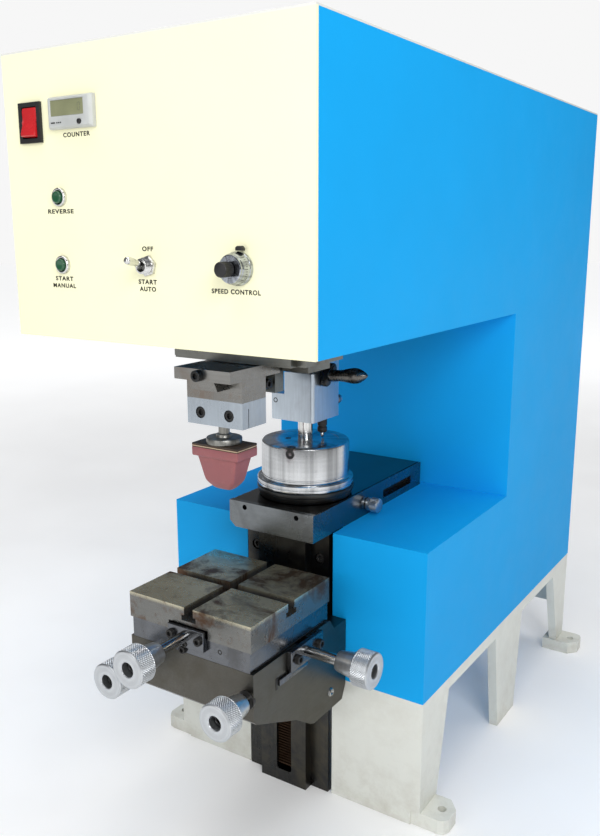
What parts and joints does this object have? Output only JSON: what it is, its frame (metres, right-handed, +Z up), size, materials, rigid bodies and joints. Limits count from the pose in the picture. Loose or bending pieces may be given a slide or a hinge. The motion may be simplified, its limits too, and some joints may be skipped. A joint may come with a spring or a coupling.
{
  "type": "pad printing machine",
  "caption": "Tabletop closed-cup pad printer: C-shaped sheet-metal housing on a legged base, with control panel, sliding pad and ink cup, plate holder and screw-driven XYZ table.",
  "frame": {"origin": "centre of the four foot holes, at the floor", "axes": "+Z up, -Y towards the control panel and operator, +X to the operator's right"},
  "size_m": [0.354, 0.701, 0.712],
  "materials": {
    "blue_paint": "semi-gloss powder coat",
    "cream_paint": "semi-gloss enamel",
    "white_paint": "semi-gloss enamel",
    "ground_steel": "ground, lightly stained",
    "dark_steel": "blued and oiled",
    "table_steel": "ground, with brown oil stains",
    "knee_iron": "machined",
    "turned_aluminium": "turned and knurled",
    "milled_aluminium": "milled",
    "bright_steel": "polished",
    "black_plastic": "moulded",
    "red_plastic": "moulded",
    "green_plastic": "moulded",
    "grey_plastic": "moulded",
    "pink_silicone": "soft silicone, satin",
    "plywood": "thin laminated board",
    "white_ceramic": "lapped ring in a dark carrier",
    "plate_steel": "dark coated printing plate",
    "black_oxide": "black oxide screws"
  },
  "bodies": {
    "machine": {"foot_lugs": "white_paint", "base_side_plates": "white_paint", "base_aprons": "white_paint", "side_panels": "blue_paint", "top_cover": "white_paint", "rear_cover": "blue_paint", "power_inlet": "black_plastic", "recess_liner": "blue_paint", "bottom_tray": "blue_paint", "control_panel": "cream_paint", "counter_case": "grey_plastic", "rocker_bezel": "black_plastic", "button_collars": "bright_steel", "toggle_bushing": "bright_steel", "dial_body": "turned_aluminium", "internal_frame": "milled_aluminium", "guide_rods": "bright_steel", "carriage_motor": "dark_steel", "drive_controller": "dark_steel", "fixing_screws": "black_oxide", "holder_base": "ground_steel", "cliche_plate": "plate_steel", "column_plate": "dark_steel", "column_rack": "dark_steel"},
    "carriage": {"carriage_block": "milled_aluminium", "carriage_plate": "ground_steel", "cup_mount_plate": "dark_steel", "cup_holder_block": "milled_aluminium", "cup_shaft": "bright_steel", "ram_actuator": "dark_steel"},
    "pad_ram": {"ram_bar": "bright_steel", "pad_upper_plate": "ground_steel", "pad_block": "ground_steel", "pad_clamp_block": "milled_aluminium", "pad_cap_screws": "black_oxide", "pad_stud": "ground_steel", "pad_backing": "plywood", "silicone_pad": "pink_silicone"},
    "cup": {"ink_cup": "turned_aluminium", "doctor_ring": "white_ceramic"},
    "cup_lever": {"clamp_lever": "dark_steel"},
    "drive_screw": {"carriage_screw": "ground_steel"},
    "knee_unit": {"knee": "knee_iron", "x_bearing_plate": "dark_steel"},
    "saddle_unit": {"saddle": "ground_steel", "y_bearing_plate": "dark_steel"},
    "table_unit": {"table_top": "table_steel"},
    "x_knob": {"x_screw": "turned_aluminium"},
    "y_knob": {"y_screw": "turned_aluminium"},
    "height_knob": {"elevation_shaft": "turned_aluminium"},
    "pinion_shaft": {"cross_shaft": "ground_steel"},
    "lock_knob": {"lock_screw": "turned_aluminium"},
    "thumb_screw": {"holder_thumb_screw": "turned_aluminium"},
    "power_rocker": {"rocker_key": "red_plastic"},
    "start_button": {"start_button_cap": "green_plastic"},
    "reverse_button": {"reverse_button_cap": "green_plastic"},
    "mode_toggle": {"toggle_lever": "bright_steel"},
    "speed_dial": {"dial_knob": "black_plastic"},
    "dial_brake": {"dial_lock_lever": "black_plastic"},
    "reset_button": {"counter_reset": "black_plastic"}
  },
  "joints": [
    {"name": "carriage_slide", "type": "slide", "parent": "machine", "child": "carriage", "axis": [0, 1, 0], "range_m": [0, 0.118]},
    {"name": "pad_stroke", "type": "slide", "parent": "carriage", "child": "pad_ram", "axis": [0, 0, 1], "range_m": [-0.07, 0]},
    {"name": "cup_spin", "type": "hinge", "parent": "carriage", "child": "cup", "pos_m": [0, -0.208, 0.34], "axis": [0, 0, 1], "continuous": true},
    {"name": "cup_lever_turn", "type": "hinge", "parent": "carriage", "child": "cup_lever", "pos_m": [0.025, -0.204, 0.44], "axis": [1, 0, 0], "range_deg": [-10, 60]},
    {"name": "drive_screw_spin", "type": "hinge", "parent": "machine", "child": "drive_screw", "pos_m": [-0.027, -0.208, 0.62], "axis": [0, 1, 0], "range_deg": [-20, 2150]},
    {"name": "knee_height", "type": "slide", "parent": "machine", "child": "knee_unit", "axis": [0, 0, 1], "range_m": [-0.08, 0.02]},
    {"name": "table_x", "type": "slide", "parent": "knee_unit", "child": "saddle_unit", "axis": [1, 0, 0], "range_m": [-0.015, 0.015]},
    {"name": "table_y", "type": "slide", "parent": "saddle_unit", "child": "table_unit", "axis": [0, 1, 0], "range_m": [-0.015, 0.015]},
    {"name": "height_knob_turn", "type": "hinge", "parent": "knee_unit", "child": "height_knob", "pos_m": [0.0583, -0.388, 0.186], "axis": [0, 1, 0], "range_deg": [-775, 200]},
    {"name": "pinion_turn", "type": "hinge", "parent": "knee_unit", "child": "pinion_shaft", "pos_m": [0, -0.25075, 0.186], "axis": [1, 0, 0], "range_deg": [-200, 775]},
    {"name": "x_knob_turn", "type": "hinge", "parent": "knee_unit", "child": "x_knob", "pos_m": [0.11, -0.316, 0.202], "axis": [1, 0, 0], "range_deg": [-1100, 1100]},
    {"name": "y_knob_turn", "type": "hinge", "parent": "saddle_unit", "child": "y_knob", "pos_m": [-0.003, -0.428, 0.23], "axis": [0, 1, 0], "range_deg": [-1100, 1100]},
    {"name": "knee_lock_turn", "type": "hinge", "parent": "knee_unit", "child": "lock_knob", "pos_m": [-0.0623, -0.388, 0.186], "axis": [0, 1, 0], "range_deg": [-180, 180]},
    {"name": "holder_screw_turn", "type": "hinge", "parent": "machine", "child": "thumb_screw", "pos_m": [0.05, -0.166, 0.296], "axis": [1, 0, 0], "range_deg": [-360, 360]},
    {"name": "power_rocker_tilt", "type": "hinge", "parent": "machine", "child": "power_rocker", "pos_m": [-0.1185, -0.427, 0.657], "axis": [1, 0, 0], "range_deg": [0, 16]},
    {"name": "start_press", "type": "slide", "parent": "machine", "child": "start_button", "axis": [0, 1, 0], "range_m": [0, 0.0025], "stiffness_N_per_m": 250, "springref_m": -0.0004},
    {"name": "reverse_press", "type": "slide", "parent": "machine", "child": "reverse_button", "axis": [0, 1, 0], "range_m": [0, 0.0025], "stiffness_N_per_m": 250, "springref_m": -0.0004},
    {"name": "mode_toggle_tilt", "type": "hinge", "parent": "machine", "child": "mode_toggle", "pos_m": [0.0015, -0.4315, 0.547], "axis": [1, 0, 0], "range_deg": [0, 25]},
    {"name": "speed_dial_turn", "type": "hinge", "parent": "machine", "child": "speed_dial", "pos_m": [0.087, -0.428, 0.547], "axis": [0, 1, 0], "range_deg": [0, 3600]},
    {"name": "dial_brake_turn", "type": "hinge", "parent": "machine", "child": "dial_brake", "pos_m": [0.087, -0.433, 0.547], "axis": [0, 1, 0], "range_deg": [0, 25]},
    {"name": "counter_reset_press", "type": "slide", "parent": "machine", "child": "reset_button", "axis": [0, 1, 0], "range_m": [0, 0.0008], "stiffness_N_per_m": 250, "springref_m": -0.0004}
  ],
  "couplings": [
    {"joint": "drive_screw_spin", "follows": "carriage_slide", "rad_per_m": 314.16},
    {"joint": "pinion_turn", "follows": "knee_height", "rad_per_m": -166.67},
    {"joint": "height_knob_turn", "follows": "knee_height", "rad_per_m": 166.67},
    {"joint": "x_knob_turn", "follows": "table_x", "rad_per_m": 1256.6},
    {"joint": "y_knob_turn", "follows": "table_y", "rad_per_m": 1256.6}
  ]
}
